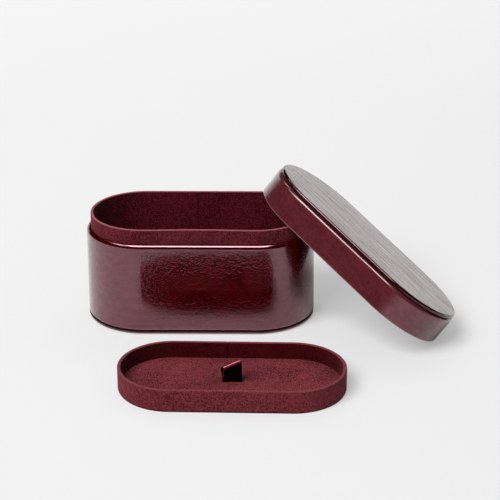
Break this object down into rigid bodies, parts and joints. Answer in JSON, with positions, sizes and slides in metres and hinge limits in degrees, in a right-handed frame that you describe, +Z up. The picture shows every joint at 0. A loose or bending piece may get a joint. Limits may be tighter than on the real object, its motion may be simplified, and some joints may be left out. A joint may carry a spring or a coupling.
{
  "type": "leather jewellery case",
  "caption": "Racetrack-shaped leather jewellery case with a suede-lined neck, a lift-off lid leaning on its end and a lift-out tray with a strap pull tab.",
  "frame": {"origin": "middle of the underside of the case, on the ground", "axes": "+X to the right along the case and towards the lid, +Z up, the front with the tray faces -Y"},
  "size_m": [0.3357, 0.2605, 0.1393],
  "materials": {
    "polished_leather": "polished oxblood",
    "suede": "napped, matt",
    "board": "grey board",
    "foam": "thin padding sheet",
    "felt": "pressed felt"
  },
  "bodies": {
    "case": {"foot_pad": "felt", "base_plate_board": "board", "base_plate_leather": "polished_leather", "base_inner_board": "board", "wall_board": "board", "wall_leather": "polished_leather", "neck_board": "board", "neck_suede": "suede", "ledge_board": "board", "ledge_suede": "suede", "floor_foam": "foam", "floor_suede": "suede"},
    "lid": {"lid_inner_board": "board", "lid_panel_foam": "foam", "lid_panel_suede": "suede", "lid_plate_board": "board", "lid_plate_leather": "polished_leather", "lid_skirt_board": "board", "lid_skirt_leather": "polished_leather", "lid_skirt_lining": "suede"},
    "tray": {"tray_floor_board": "board", "tray_floor_foam": "foam", "tray_floor_suede": "suede", "tray_underside_suede": "suede", "tray_wall_board": "board", "tray_wall_suede": "suede", "tab_tails": "polished_leather"},
    "pull_tab": {"tab_loop": "polished_leather"}
  },
  "joints": [
    {"name": "lid_lift", "type": "slide", "parent": "case", "child": "lid", "axis": [0.6074, 0.0485, 0.7929], "range_m": [0, 0.12]},
    {"name": "tray_lift", "type": "slide", "parent": "case", "child": "tray", "axis": [0, 0, 1], "range_m": [0, 0.11]},
    {"name": "tab_bend", "type": "hinge", "parent": "tray", "child": "pull_tab", "pos_m": [0.0314, -0.1545, 0.0058], "axis": [0.9998, -0.0209, 0], "range_deg": [-35, 35], "stiffness_Nm_per_rad": 0.002}
  ]
}
